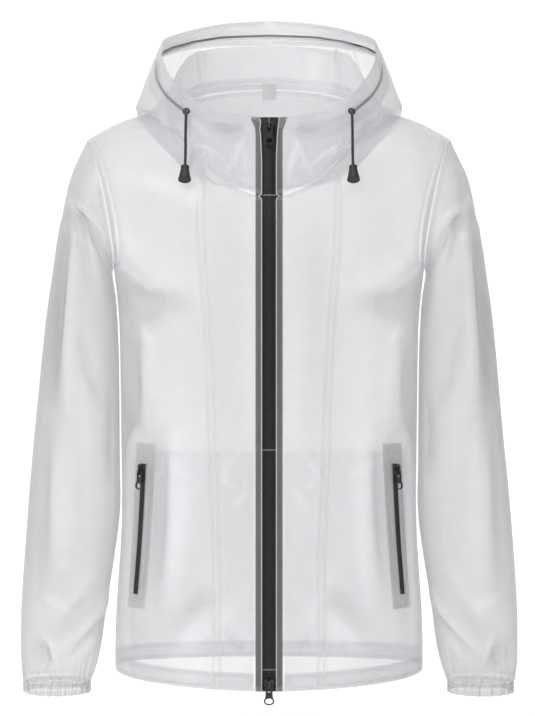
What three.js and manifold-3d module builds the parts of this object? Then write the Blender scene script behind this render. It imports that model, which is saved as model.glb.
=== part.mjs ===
// A hooded rain jacket of frosted clear film, filled out as when worn, with its hood thrown back.
// Millimetres, +Z up, front towards -Y. The origin is midway between the two points where the
// shoulder lines meet the neck, which is where the wearer's shoulders hold the jacket up.
import * as THREE from "three";
import { mergeVertices } from "three/addons/utils/BufferGeometryUtils.js";
import Module from "manifold-3d";

const wasm = await Module();
wasm.setup();

// Driving dimensions
const filmWall = 1.2;
const seamGap = 0.3;
const layStep = filmWall + seamGap;
const pocketLay = 2.6;
const zipLay = 2.4;
const hemLay = 2;
const sectionPower = 2.3;
const hemCentreZ = -695;
const hemPrincessZ = -693.5;
const hemSideZ = -682.5;
const hemDepthShare = 0.42;
const underarmZ = -205;
const shoulderTipZ = -52;
const shoulderTipX = 217;
const shoulderNeckX = 115.5;
const shoulderNeckZ = -15;
const zipHalfOpening = 8.5;
const zipTapeEdge = 15.5;
const neckFrontZ = -130;
const princessTopU = 0.33;
const shoulderU = 0.7;
const hoodCentreU = 0.9;
const casingDepth = 34;
const cordDiameter = 3.4;
const cuffPuckers = 18;

// Rows and columns of the panels
const lowRows = 10;
const armholeRows = 8;
const princessRows = 4;
const sideColumns = 7;
const centreColumns = 3;
const backNeckColumns = 5;
const backShoulderColumns = 4;

// Makes a table whose rows carry named columns.
function table(names, ...rows) {
  const columns = names.split(" ");
  return rows.map((row) => Object.fromEntries(columns.map((name, i) => [name, row[i]])));
}

const lerp = THREE.MathUtils.lerp;

// Reads one column at any key, on a smooth curve through the rows that never overshoots them.
function read(rows, column, key) {
  const keyName = Object.keys(rows[0])[0];
  const last = rows.length - 1;
  if (key <= rows[0][keyName]) return rows[0][column];
  if (key >= rows[last][keyName]) return rows[last][column];
  let i = 0;
  while (rows[i + 1][keyName] < key) i += 1;
  const chord = (j) => (rows[j + 1][column] - rows[j][column]) / (rows[j + 1][keyName] - rows[j][keyName]);
  const slope = (j) => {
    if (j === 0) return chord(0);
    if (j === last) return chord(last - 1);
    const before = chord(j - 1);
    const after = chord(j);
    return before * after <= 0 ? 0 : (2 * before * after) / (before + after);
  };
  const span = rows[i + 1][keyName] - rows[i][keyName];
  const t = (key - rows[i][keyName]) / span;
  const straight = 2 * t ** 3 - 3 * t ** 2;
  const value = (1 + straight) * rows[i][column] - straight * rows[i + 1][column];
  return value + span * ((t ** 3 - 2 * t ** 2 + t) * slope(i) + (t ** 3 - t ** 2) * slope(i + 1));
}

// The body of the jacket: how far front and back stand from the middle at each height
const frontDepths = table("z depth",
  [-694, 122], [-600, 125], [-480, 124], [-400, 124], [-300, 126], [-205, 128], [-165, 126],
  [-130, 118], [-114, 113], [-88, 98], [-58, 75.5], [-37, 51], [-25, 33], [-15, 12]);
const backDepths = table("z depth",
  [-694, 119], [-600, 119], [-480, 116], [-400, 114], [-300, 120], [-205, 125], [-165, 121],
  [-129, 114], [-88, 104], [-58, 95], [-37, 86], [-15, 72], [0, 66], [15, 68]);
const sideWidths = table("z width",
  [-694, 184], [-658, 184.5], [-607, 182.4], [-566, 180], [-524, 177.2], [-490, 176.3], [-388, 177.3],
  [-304, 178.4], [-257, 180.4], [-205, 186]);
const shoulderWidths = table("z width",
  [-52, 217], [-41, 198], [-32, 180], [-25, 160], [-19, 138], [-15, 115.5], [0, 112], [15, 104]);
const shoulderHeights = table("x z",
  [115.5, -15], [138, -19], [160, -25], [180, -32], [198, -41], [217, -52]);
const princessLine = table("z x",
  [-694, 60], [-560, 60], [-420, 65.5], [-330, 68], [-250, 73], [-150, 79], [-88, 78]);
// The neck seam of one half, from the zip (u 0) over the shoulder (u 0.7) to the nape (u 1)
const neckSeam = table("u x z",
  [0, 8.5, -130], [0.18, 50, -114], [0.33, 78, -88], [0.5, 100, -58], [0.6, 111, -37],
  [0.7, 115.5, -15], [0.8, 109, -6], [0.87, 95, 0], [0.94, 50, 12], [1, 0, 15]);
// Soft troughs in the body: place, reach along z and x, depth, and lean of x on z
const bodyFolds = table("face x z reach width depth lean",
  [-1, 150, -330, 130, 20, 4, 0.02],
  [-1, 108, -250, 110, 18, 3, 0.12],
  [-1, 120, -610, 70, 16, 2.5, -0.1],
  [1, 130, -300, 150, 22, 5, 0.08],
  [1, 70, -480, 140, 24, 4, -0.05],
  [1, 40, -200, 90, 20, 3, 0.3]);

const armholeMiddleZ = (underarmZ + shoulderTipZ) / 2;
const armholeHalf = (shoulderTipZ - underarmZ) / 2;
const armholeDepths = { front: 68, back: 66 };
const armholeInset = 10;
const front = { sign: -1, depths: frontDepths, armhole: armholeDepths.front };
const back = { sign: 1, depths: backDepths, armhole: armholeDepths.back };

// A point of the armhole seam: phi runs from the shoulder tip (0) to the underarm (pi).
function armholePoint(face, phi) {
  const z = armholeMiddleZ + armholeHalf * Math.cos(phi);
  const bow = Math.sin(phi);
  const x = lerp(read(sideWidths, "width", underarmZ), shoulderTipX, (z - underarmZ) / (2 * armholeHalf));
  return new THREE.Vector3(x - armholeInset * bow, face.sign * face.armhole * bow, z);
}

function halfWidthAt(face, z) {
  if (z <= underarmZ) return read(sideWidths, "width", z);
  if (z >= shoulderTipZ) return read(shoulderWidths, "width", z);
  const edge = armholePoint(face, Math.acos((z - armholeMiddleZ) / armholeHalf));
  const share = Math.abs(edge.y) / read(face.depths, "depth", z);
  return edge.x / (1 - share ** sectionPower) ** (1 / sectionPower);
}

function foldAt(face, x, z) {
  let depth = 0;
  for (const fold of bodyFolds) {
    const along = (z - fold.z) / fold.reach;
    if (fold.face !== face.sign || Math.abs(along) >= 1) continue;
    const across = (x - fold.x - fold.lean * (z - fold.z)) / fold.width;
    depth += fold.depth * (1 - along ** 2) ** 2 * Math.exp(-(across ** 2));
  }
  const toSide = Math.min(1, x / halfWidthAt(face, z));
  return depth * (1 - toSide ** 8);
}

// A point of the body's section at height z, and the way out of the body there.
function bodyFrame(face, x, z) {
  const halfWidth = halfWidthAt(face, z);
  const depth = read(face.depths, "depth", z);
  const share = Math.min(1, Math.abs(x) / halfWidth);
  const height = (1 - share ** sectionPower) ** (1 / sectionPower);
  const outX = share ** (sectionPower - 1) / halfWidth;
  const outY = height ** (sectionPower - 1) / depth;
  const out = new THREE.Vector3(outX, face.sign * outY, 0).normalize();
  const point = new THREE.Vector3(x, face.sign * depth * height, z);
  return { point: point.addScaledVector(out, -foldAt(face, x, z)), out };
}

function bodyPoint(face, x, z, move = 0) {
  const frame = bodyFrame(face, x, z);
  return frame.point.addScaledVector(frame.out, move);
}

// The turn angle of x on the section at height z: 0 at the middle, a right angle at the side
function sectionAngle(face, x, z) {
  return Math.asin(Math.min(1, (x / halfWidthAt(face, z)) ** (sectionPower / 2)));
}

function grid(rowCount, columnCount, pointAt) {
  const rows = [];
  for (let i = 0; i <= rowCount; i += 1) {
    const row = [];
    for (let j = 0; j <= columnCount; j += 1) row.push(pointAt(i, j));
    rows.push(row);
  }
  return rows;
}

// The normal at each point of a grid; wrap joins the last column to the first.
function gridNormals(points, wrap) {
  const lastRow = points.length - 1;
  const count = points[0].length;
  return points.map((row, i) => row.map((point, j) => {
    const left = wrap ? row[(j + count - 1) % count] : row[Math.max(0, j - 1)];
    const right = wrap ? row[(j + 1) % count] : row[Math.min(count - 1, j + 1)];
    const below = points[Math.max(0, i - 1)][j];
    const above = points[Math.min(lastRow, i + 1)][j];
    const across = right.clone().sub(left);
    return across.cross(above.clone().sub(below)).normalize();
  }));
}

function movedGrid(points, move, wrap = false) {
  const normals = gridNormals(points, wrap);
  return points.map((row, i) => row.map((point, j) => point.clone().addScaledVector(normals[i][j], move)));
}

const mirrored = (points) => points.map((row) => row.map((p) => new THREE.Vector3(-p.x, p.y, p.z)));

// A wall of cloth as a closed solid, half its thickness on each side of a grid of points.
function wall(points, { thickness = filmWall, wrap = false } = {}) {
  const outer = movedGrid(points, thickness / 2, wrap);
  const inner = movedGrid(points, -thickness / 2, wrap);
  const rows = points.length;
  const columns = points[0].length;
  const positions = [...outer.flat(), ...inner.flat()].flatMap((p) => [p.x, p.y, p.z]);
  const top = (i, j) => i * columns + (j % columns);
  const under = (i, j) => rows * columns + top(i, j);
  const index = [];
  const quad = (a, b, c, d) => index.push(a, b, c, a, c, d);
  const spans = wrap ? columns : columns - 1;
  for (let i = 0; i < rows - 1; i += 1) {
    for (let j = 0; j < spans; j += 1) {
      quad(top(i, j), top(i, j + 1), top(i + 1, j + 1), top(i + 1, j));
      quad(under(i, j), under(i + 1, j), under(i + 1, j + 1), under(i, j + 1));
    }
  }
  for (let j = 0; j < spans; j += 1) {
    quad(top(0, j + 1), top(0, j), under(0, j), under(0, j + 1));
    quad(top(rows - 1, j), top(rows - 1, j + 1), under(rows - 1, j + 1), under(rows - 1, j));
  }
  for (let i = 0; i < rows - 1 && !wrap; i += 1) {
    quad(top(i, 0), top(i + 1, 0), under(i + 1, 0), under(i, 0));
    quad(top(i + 1, spans), top(i, spans), under(i, spans), under(i + 1, spans));
  }
  const geometry = new THREE.BufferGeometry();
  geometry.setAttribute("position", new THREE.Float32BufferAttribute(positions, 3));
  geometry.setIndex(index);
  return geometry;
}

function toManifold(geometry) {
  const bare = geometry.clone();
  bare.deleteAttribute("normal");
  bare.deleteAttribute("uv");
  const merged = mergeVertices(bare, 1e-4);
  const vertProperties = new Float32Array(merged.attributes.position.array);
  const triVerts = new Uint32Array(merged.index.array);
  return new wasm.Manifold(new wasm.Mesh({ numProp: 3, vertProperties, triVerts }));
}

function fromManifold(solid) {
  const mesh = solid.getMesh();
  const geometry = new THREE.BufferGeometry();
  geometry.setAttribute("position", new THREE.Float32BufferAttribute(mesh.vertProperties, 3));
  geometry.setIndex(Array.from(mesh.triVerts));
  return geometry;
}

const joined = (a, b) => fromManifold(toManifold(a).add(toManifold(b)));
const cut = (a, b) => fromManifold(toManifold(a).subtract(toManifold(b)));

const finishes = {
  film: { color: 0xe4e4e7, roughness: 0.42, metalness: 0 },
  tape: { color: 0x2a2a2c, roughness: 0.85, metalness: 0 },
  cord: { color: 0x161617, roughness: 0.8, metalness: 0 },
  enamel: { color: 0x1b1b1d, roughness: 0.45, metalness: 0.2 },
  rubber: { color: 0x18181a, roughness: 0.6, metalness: 0 },
  label: { color: 0xf2f2f2, roughness: 0.8, metalness: 0 },
};

const group = new THREE.Group();

function addMesh(name, geometry, finish, parent = group) {
  const mesh = new THREE.Mesh(geometry, new THREE.MeshStandardMaterial(finishes[finish]));
  mesh.name = name;
  parent.add(mesh);
}

function addPair(name, points, options = {}) {
  addMesh(`${name}_left`, wall(points, options), "film");
  addMesh(`${name}_right`, wall(mirrored(points), options), "film");
}

// Body panels
const lastRow = lowRows + armholeRows;
const upperShare = (row) => Math.max(0, (row - lowRows) / armholeRows);

// The side seam and, above the underarm, the armhole seam at one row of a body panel
function outerEdge(face, row) {
  if (row > lowRows) return armholePoint(face, Math.PI * (1 - upperShare(row)));
  const z = lerp(hemSideZ, underarmZ, row / lowRows);
  return new THREE.Vector3(read(sideWidths, "width", z), 0, z);
}

// The princess line and, above it, the front neck seam at one row
const midPrincessZ = -212;
function princessEdge(row) {
  const upper = (row - lowRows) / princessRows;
  if (row <= lowRows + princessRows) {
    const z = upper <= 0 ? lerp(hemPrincessZ, midPrincessZ, row / lowRows) : lerp(midPrincessZ, -88, upper);
    return { x: read(princessLine, "x", z), z };
  }
  const u = lerp(princessTopU, shoulderU, (upper - 1) / (armholeRows / princessRows - 1));
  return { x: read(neckSeam, "x", u), z: read(neckSeam, "z", u) };
}

const shoulderSeamHalf = 0.45;

function frontSidePoint(row, column) {
  const across = column / sideColumns;
  const upper = upperShare(row);
  const inner = princessEdge(row);
  const outer = outerEdge(front, row);
  const topX = lerp(shoulderNeckX, shoulderTipX, across);
  const bow = read(shoulderHeights, "z", topX) - lerp(shoulderNeckZ, shoulderTipZ, across);
  const z = lerp(inner.z, outer.z, across) + bow * upper ** 2;
  const angle = lerp(sectionAngle(front, inner.x, inner.z), sectionAngle(front, outer.x, outer.z), across);
  const lowX = halfWidthAt(front, z) * Math.sin(angle) ** (2 / sectionPower);
  const x = lerp(lowX, lerp(inner.x, outer.x, across), upper);
  if (row === lastRow) return new THREE.Vector3(x, -shoulderSeamHalf, z);
  if (column === sideColumns) return new THREE.Vector3(outer.x, outer.y - seamGap / 2, outer.z);
  return bodyPoint(front, column === 0 ? x + seamGap / 2 : x, z);
}

const midZipZ = -215;
function zipEdgeZ(row) {
  if (row <= lowRows) return lerp(hemCentreZ, midZipZ, row / lowRows);
  return lerp(midZipZ, neckFrontZ, (row - lowRows) / princessRows);
}

function frontCentrePoint(row, column) {
  const across = column / centreColumns;
  const upper = Math.max(0, (row - lowRows) / princessRows);
  const outer = princessEdge(row);
  const u = princessTopU * across;
  const neckX = read(neckSeam, "x", u) - lerp(zipHalfOpening, read(neckSeam, "x", princessTopU), across);
  const neckZ = read(neckSeam, "z", u) - lerp(neckFrontZ, read(neckSeam, "z", princessTopU), across);
  const x = lerp(zipHalfOpening, outer.x - seamGap / 2, across) + neckX * upper ** 2;
  return bodyPoint(front, x, lerp(zipEdgeZ(row), outer.z, across) + neckZ * upper ** 2);
}

const halfBackColumns = backNeckColumns + backShoulderColumns;
const hemBackZ = -689;
function backPoint(row, signedColumn) {
  const column = Math.abs(signedColumn);
  const across = column / halfBackColumns;
  const upper = upperShare(row);
  const outer = outerEdge(back, row);
  const overNeck = column <= backNeckColumns;
  const u = 1 - (1 - shoulderU) * (column / backNeckColumns);
  const shoulderX = lerp(shoulderNeckX, shoulderTipX, (column - backNeckColumns) / backShoulderColumns);
  const topX = overNeck ? read(neckSeam, "x", u) : shoulderX;
  const topZ = overNeck ? read(neckSeam, "z", u) : read(shoulderHeights, "z", shoulderX);
  const hemZ = lerp(hemBackZ, hemSideZ, across ** 2);
  const midZ = lerp(midPrincessZ, underarmZ, across);
  const roundShare = (1 - Math.cos(Math.PI * upper)) / 2;
  const rise = lerp(upper, roundShare, across ** 2);
  const z = row <= lowRows ? lerp(hemZ, midZ, row / lowRows) : lerp(midZ, topZ, rise);
  const lowShare = Math.sin((Math.PI / 2) * across) ** (2 / sectionPower);
  const x = outer.x * lerp(lowShare, topX / shoulderTipX, upper);
  const side = Math.sign(signedColumn);
  let point = bodyPoint(back, x, z);
  if (column === halfBackColumns) point = outer.clone().setY(outer.y + seamGap / 2);
  if (row === lastRow && !overNeck) point = new THREE.Vector3(shoulderX, shoulderSeamHalf, topZ);
  if (row === lastRow && column === backNeckColumns) point.set(shoulderNeckX, shoulderSeamHalf, topZ);
  return new THREE.Vector3(side * point.x, point.y, point.z);
}

const frontCentre = grid(lowRows + princessRows, centreColumns, frontCentrePoint);
const frontSide = grid(lastRow, sideColumns, frontSidePoint);
const backPanel = grid(lastRow, 2 * halfBackColumns, (i, j) => backPoint(i, j - halfBackColumns));

// Pocket zips: a line down each front side panel
const pocketTopZ = -413;
const pocketBottomZ = -606;
const pocketTapeHalf = 17;
const pocketSlotHalf = 6.5;
const pocketSlotTopZ = -436;
const pocketSlotBottomZ = -590;
const pocketChainHalf = 4.2;
const pocketLine = table("z x", [-606, 158], [-514, 151], [-437, 147], [-413, 146.3]);

function pocketPoint(z, across, move) {
  const start = read(pocketLine, "x", z);
  const halfway = start - (across / 2) * bodyFrame(front, start, z).out.y;
  return bodyPoint(front, start - across * bodyFrame(front, halfway, z).out.y, z, move);
}

function pocketStrip(topZ, bottomZ, half, move, rows, columns) {
  const heightAt = (i) => lerp(bottomZ, topZ, i / rows);
  return grid(rows, columns, (i, j) => pocketPoint(heightAt(i), lerp(-half, half, j / columns), move));
}

const slotCutter = pocketStrip(pocketSlotTopZ, pocketSlotBottomZ, pocketSlotHalf, 0, 4, 1);
const frontSideCut = cut(wall(frontSide), wall(slotCutter, { thickness: 9 }));
const frontSideCutRight = cut(wall(mirrored(frontSide)), wall(mirrored(slotCutter), { thickness: 9 }));

addPair("front_centre", frontCentre);
addMesh("front_side_left", frontSideCut, "film");
addMesh("front_side_right", frontSideCutRight, "film");
addMesh("back_panel", wall(backPanel), "film");

// Hem: the turned-up edge that lies inside the panels
const hemRows = (points) => [0, hemDepthShare].map((share) =>
  points[0].map((point, j) => point.clone().lerp(points[1][j], share)));
const hemEndGap = 0.8;
const hemFront = hemRows(frontCentre).map((row, i) => {
  const clearOfZip = row[0].clone().lerp(row[1], 0.55);
  return [clearOfZip, ...row.slice(1, -1), ...hemRows(frontSide)[i]];
});
const hemFrontMoved = movedGrid(hemFront, -hemLay);
const hemBackMoved = movedGrid(hemRows(backPanel), hemLay);
for (const row of hemFrontMoved) row[row.length - 1].y -= hemEndGap;
for (const row of hemBackMoved) {
  row[0].y += hemEndGap;
  row[row.length - 1].y += hemEndGap;
}
addPair("hem_front", hemFrontMoved);
addMesh("hem_back", wall(hemBackMoved), "film");

// Sleeves: rings from the armhole to the cuff, each between an outer and an inner point
const sleeveRings = table("ring outerX outerZ innerX innerZ depth forward",
  [0, 217, -52, 186, -205, 67, 0],
  [1, 229.5, -76, 188.2, -213, 68, 0],
  [2, 238.6, -104, 187, -222, 68, 0],
  [3, 245, -131, 185, -235, 67.5, 0],
  [4, 253, -167, 182.8, -255, 67, 1],
  [5, 260, -214, 181.2, -282, 66, 2],
  [6, 266.8, -260, 180, -314, 65, 3],
  [7, 272.6, -315, 179.4, -352, 63.5, 4],
  [8, 277.5, -370, 179, -394, 62, 5],
  [9, 282.5, -425, 178.6, -440, 60.5, 6],
  [10, 288, -486, 178, -492, 58.5, 7],
  [11, 292.5, -556, 186, -557, 55, 8],
  [12, 296, -618, 195.3, -618.5, 51, 9],
  [13, 296.5, -664, 202.5, -665, 46.5, 9.5],
  [14, 292.6, -697, 213.4, -697.6, 39, 10]);
const sleeveStepsPerRing = 1.5;
const sleeveColumns = 2 * armholeRows;
// Folds of the sleeve: ring and angle of the middle, reach, width, depth, and lean of angle on ring
const sleeveFolds = table("ring angle reach width depth lean",
  [2.2, 55, 2.4, 16, 7, 26],
  [3.4, 95, 2.4, 20, 5, 20],
  [3.2, 300, 2.6, 22, 6, -22],
  [6.5, 60, 3.6, 20, 4, -6],
  [7.5, 285, 3.8, 24, 4, 7],
  [9.5, 100, 3, 22, 3.5, 8],
  [12.4, 70, 1.8, 18, 5, -26],
  [12.7, 125, 1.6, 18, 4.5, 30],
  [12.5, 250, 1.8, 20, 5, 26]);

function sleevePoint(step, column) {
  const ring = step / sleeveStepsPerRing;
  const angle = (2 * Math.PI * column) / sleeveColumns;
  const value = (name) => read(sleeveRings, name, ring);
  const outer = new THREE.Vector3(value("outerX"), 0, value("outerZ"));
  const inner = new THREE.Vector3(value("innerX"), 0, value("innerZ"));
  const away = outer.clone().sub(inner);
  let point = inner.clone().addScaledVector(away, (1 + Math.cos(angle)) / 2);
  point.y = -value("depth") * Math.sin(angle) - value("forward");
  if (ring < 1) {
    const phi = Math.min(angle, 2 * Math.PI - angle);
    const seam = armholePoint(angle <= Math.PI ? front : back, phi);
    const spread = seamGap + 0.9 * (1 - Math.cos(phi)) + 0.5 * Math.sin(phi);
    const outward = new THREE.Vector3(away.z, 0, -away.x).normalize();
    seam.addScaledVector(outward, spread);
    point = seam.lerp(point, ring ** 1.5);
  }
  let depth = 0;
  for (const fold of sleeveFolds) {
    const along = (ring - fold.ring) / fold.reach;
    if (Math.abs(along) >= 1) continue;
    const turned = (angle * 180) / Math.PI - fold.angle - fold.lean * (ring - fold.ring);
    depth += fold.depth * (1 - along ** 2) ** 2 * Math.exp(-((turned / fold.width) ** 2));
  }
  const middle = inner.clone().lerp(outer, 0.5);
  middle.y = -value("forward");
  return point.addScaledVector(point.clone().sub(middle).normalize(), -depth);
}

const sleeveSteps = 14 * sleeveStepsPerRing;
const sleeve = grid(sleeveSteps, sleeveColumns - 1, sleevePoint);
addPair("sleeve", sleeve, { wrap: true });

// Cuffs: a gathered elastic band with its puckers
const cuffRows = table("z half depth pucker",
  [-698.4, 39.2, 38.4, 0.5], [-702, 38.4, 37.4, 1.7], [-708, 38.2, 37.2, 1.7], [-712.5, 38.6, 37.6, 1]);
const cuffCentreX = 252.9;
const cuffForward = 10;
const columnsPerPucker = 3;
const cuff = grid(cuffRows.length - 1, cuffPuckers * columnsPerPucker - 1, (i, j) => {
  const row = cuffRows[i];
  const angle = (2 * Math.PI * j) / (cuffPuckers * columnsPerPucker);
  const wave = row.pucker * Math.cos(cuffPuckers * angle);
  const x = cuffCentreX + (row.half + wave) * Math.cos(angle);
  return new THREE.Vector3(x, -(row.depth + wave) * Math.sin(angle) - cuffForward, row.z);
});
addPair("cuff", cuff, { wrap: true });

// Hood: lines that run from the zip (u 0) to the centre back (u 1) of one half, thrown back behind
const hoodLines = [
  table("u x y z",
    [0, 8.5, -115.5, -112], [0.18, 51, -110, -96], [0.33, 80, -97, -76], [0.5, 108, -73, -51],
    [0.6, 122, -46, -33.5], [0.7, 129, -2, -12.5], [0.8, 116, 34, 24], [0.87, 95, 62, 60],
    [0.94, 62, 80, 68], [1, 0, 86, 71]),
  table("u x y z",
    [0, 8.5, -112, -92], [0.18, 53, -108, -79], [0.33, 82.5, -98, -62], [0.5, 115, -74, -42],
    [0.6, 136, -42, -30], [0.7, 146, -1, -16.5], [0.8, 136, 58, -20], [0.87, 110, 100, -46],
    [0.94, 66, 119, -84], [1, 0, 125, -94]),
  table("u x y z",
    [0, 9, -108, -73], [0.18, 54, -104, -60], [0.33, 82.5, -96, -48], [0.5, 118.5, -72, -27],
    [0.6, 143, -40, -19], [0.7, 160, 2, -18.5], [0.8, 159, 74, -24], [0.87, 138, 130, -50],
    [0.94, 80, 170, -84], [1, 0, 179, -90]),
  table("u x y z",
    [0, 10, -103, -54], [0.18, 54, -99, -43], [0.33, 79, -92, -35], [0.5, 112.5, -70, -12],
    [0.6, 134, -42, 3], [0.7, 147, 2, 19], [0.8, 151, 62, 24], [0.87, 136, 117, 30],
    [0.94, 82, 171, 27], [1, 0, 183, 26]),
  table("u x y z",
    [0, 12, -98, -36], [0.18, 52, -93, -30], [0.33, 73, -85, -23], [0.5, 101, -66, 0],
    [0.6, 118, -43, 22], [0.7, 129, -6, 50], [0.8, 129.5, 29, 71], [0.87, 110, 63, 86],
    [0.94, 51, 118, 107], [1, 0, 132, 112])];
const hoodLift = 1.8;
const stepsPerSpan = 60;

// The hood's own points of one profile, from the neck seam to the rim
function hoodProfile(u) {
  const face = u < shoulderU ? front : back;
  const neck = bodyPoint(face, read(neckSeam, "x", u), read(neckSeam, "z", u));
  if (Math.abs(u - shoulderU) < 1e-6) neck.set(shoulderNeckX, 0, shoulderNeckZ);
  neck.z += hoodLift;
  const others = hoodLines.map((line) => new THREE.Vector3(
    read(line, "x", u), read(line, "y", u), read(line, "z", u)));
  return new THREE.CatmullRomCurve3([neck, ...others], false, "centripetal");
}

// Rows of the hood: evenly spread below the casing, then at set distances from the rim
const casingRows = [casingDepth, 24.5, 20.6, 17.4, 13.5, 0];
const standRows = 3;
const bagRows = 8;
function hoodColumn(u) {
  const profile = hoodProfile(u);
  profile.arcLengthDivisions = stepsPerSpan * hoodLines.length;
  const lengths = profile.getLengths();
  const length = lengths[lengths.length - 1];
  const foldShare = lengths[stepsPerSpan] / length;
  const shares = [];
  for (let i = 0; i < standRows; i += 1) shares.push((foldShare * i) / standRows);
  for (let i = 0; i < bagRows; i += 1) {
    shares.push(foldShare + ((1 - casingDepth / length - foldShare) * i) / bagRows);
  }
  for (const distance of casingRows) shares.push(1 - distance / length);
  return shares.map((share) => profile.getPointAt(share));
}

// Columns of the whole hood from the left front edge round the back to the right front edge
const sideStations = [
  0, 0.09, 0.18, 0.26, 0.33, 0.408, 0.5, 0.55, 0.6, 0.65, 0.7, 0.75, 0.8, 0.85, hoodCentreU];
const centreStations = [hoodCentreU, 0.935, 0.965, 1];
const sideOfHood = sideStations.map(hoodColumn);
const centreOfHood = centreStations.map(hoodColumn);
const transposed = (columns) => columns[0].map((unused, i) => columns.map((column) => column[i]));
const flip = (column) => column.map((p) => new THREE.Vector3(-p.x, p.y, p.z));
const centreColumnsWhole = [...centreOfHood, ...centreOfHood.slice(0, -1).reverse().map(flip)];
const farHood = sideOfHood.slice(0, -1).reverse().map(flip);
const wholeHood = [...sideOfHood.slice(0, -1), ...centreColumnsWhole, ...farHood];

// Draws the end columns of a piece back from the piece beside it
function drawnBack(columns, atStart, atEnd) {
  const copy = columns.map((column) => column.map((p) => p.clone()));
  const pull = (edge, inner) => edge.forEach((p, i) => {
    const towards = inner[i].clone().sub(p).normalize();
    p.addScaledVector(towards, seamGap);
  });
  if (atStart) pull(copy[0], columns[1]);
  if (atEnd) pull(copy[copy.length - 1], columns[columns.length - 2]);
  return copy;
}

const otherSideOfHood = wholeHood.slice(1 - sideStations.length - 1);
addMesh("hood_side_left", wall(transposed(drawnBack(sideOfHood, false, true))), "film");
addMesh("hood_side_right", wall(transposed(drawnBack(otherSideOfHood, true, false))), "film");
addMesh("hood_centre", wall(transposed(drawnBack(centreColumnsWhole, true, true))), "film");

// Casing: the facing round the rim, which bulges over the drawcord
const cordMove = -(filmWall / 2 + 1 + cordDiameter / 2);
const casingPeak = 2 * cordMove;
const casingMoves = [-layStep, -layStep, casingPeak, casingPeak, -layStep, -layStep];
const wholeRows = transposed(wholeHood);
const wholeNormals = gridNormals(wholeRows, false);
const casingGrid = casingMoves.map((move, k) => {
  const i = wholeRows.length - casingMoves.length + k;
  return wholeRows[i].map((p, j) => p.clone().addScaledVector(wholeNormals[i][j], move));
});
addMesh("hood_casing", wall(casingGrid.map((row) => row.slice(1, -1))), "film");

// Drawcord inside the casing, from one eyelet round the back to the other
const eyeletStation = 5;
const cordRowAbove = wholeRows.length - 3;
const cordLine = [];
for (let j = eyeletStation; j < wholeHood.length - eyeletStation; j += 1) {
  const p = wholeRows[cordRowAbove][j].clone().lerp(wholeRows[cordRowAbove - 1][j], 0.5);
  cordLine.push(p.addScaledVector(wholeNormals[cordRowAbove][j], cordMove));
}

function tubeAlong(points, radius, steps, sides, smooth) {
  let path = new THREE.CatmullRomCurve3(points, false, "centripetal");
  if (!smooth) {
    path = new THREE.CurvePath();
    for (let i = 1; i < points.length; i += 1) path.add(new THREE.LineCurve3(points[i - 1], points[i]));
  }
  const ring = new THREE.Shape();
  for (let k = 0; k < sides; k += 1) {
    const angle = (2 * Math.PI * k) / sides;
    const x = radius * Math.cos(angle);
    const y = radius * Math.sin(angle);
    if (k === 0) ring.moveTo(x, y);
    else ring.lineTo(x, y);
  }
  return new THREE.ExtrudeGeometry(ring, { steps, extrudePath: path, bevelEnabled: false });
}

addMesh("drawcord_in_casing", tubeAlong(cordLine, cordDiameter / 2, 46, 6, false), "cord");

// Eyelets on the front of the casing, the free cord ends and their bell ends
const eyeletRadius = 4.6;
const eyeletHole = 2.3;
const eyeletThickness = 1.6;
const eyeletMove = filmWall / 2 + 0.9;
const cordRadius = cordDiameter / 2;
const bellHeight = 19;
const bellProfile = table("z radius",
  [0, 7.4], [1, 7.4], [6, 6.4], [12, 5.2], [17, 4.6], [bellHeight, 3.6]);
const cordDrop = table("drop x y",
  [4, -0.3, -5.4], [9, -0.3, -7.6], [18, -0.2, -9.6], [30, 0, -10.6], [42, 0, -11.4], [52, 0.1, -12.8],
  [59, 0.2, -15], [65.5, 0.3, -18]);

const ringProfile = [
  new THREE.Vector2(eyeletHole, 0), new THREE.Vector2(eyeletRadius, 0),
  new THREE.Vector2(eyeletRadius - 0.5, eyeletThickness), new THREE.Vector2(eyeletHole, eyeletThickness),
  new THREE.Vector2(eyeletHole, 0)];

for (const side of [1, -1]) {
  const name = side > 0 ? "left" : "right";
  const j = side > 0 ? eyeletStation : wholeHood.length - 1 - eyeletStation;
  const place = wholeRows[cordRowAbove][j].clone().lerp(wholeRows[cordRowAbove - 1][j], 0.5);
  const out = wholeNormals[cordRowAbove][j].clone();
  const seat = place.clone().addScaledVector(out, eyeletMove);
  const turn = new THREE.Quaternion().setFromUnitVectors(new THREE.Vector3(0, 1, 0), out);
  const eyelet = new THREE.Group();
  eyelet.position.copy(seat);
  eyelet.quaternion.copy(turn);
  group.add(eyelet);
  addMesh(`eyelet_${name}`, new THREE.LatheGeometry(ringProfile, 16), "enamel", eyelet);
  const start = seat.clone().addScaledVector(out, eyeletThickness + seamGap);
  const points = [start, start.clone().addScaledVector(out, 2.4)];
  for (const row of cordDrop) {
    points.push(new THREE.Vector3(start.x + side * row.x, start.y + row.y, start.z - row.drop));
  }
  addMesh(`drawcord_${name}`, tubeAlong(points, cordRadius, 14, 8, true), "cord");
  const end = points[points.length - 1];
  const down = end.clone().sub(points[points.length - 2]).normalize();
  const bell = new THREE.Group();
  bell.position.copy(end).addScaledVector(down, seamGap + bellHeight);
  bell.quaternion.setFromUnitVectors(new THREE.Vector3(0, 1, 0), down.negate());
  group.add(bell);
  const outline = bellProfile.map((row) => new THREE.Vector2(row.radius, row.z));
  outline.unshift(new THREE.Vector2(0, 0));
  outline.push(new THREE.Vector2(0, bellHeight));
  addMesh(`cord_end_${name}`, new THREE.LatheGeometry(outline, 12), "rubber", bell);
}

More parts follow.
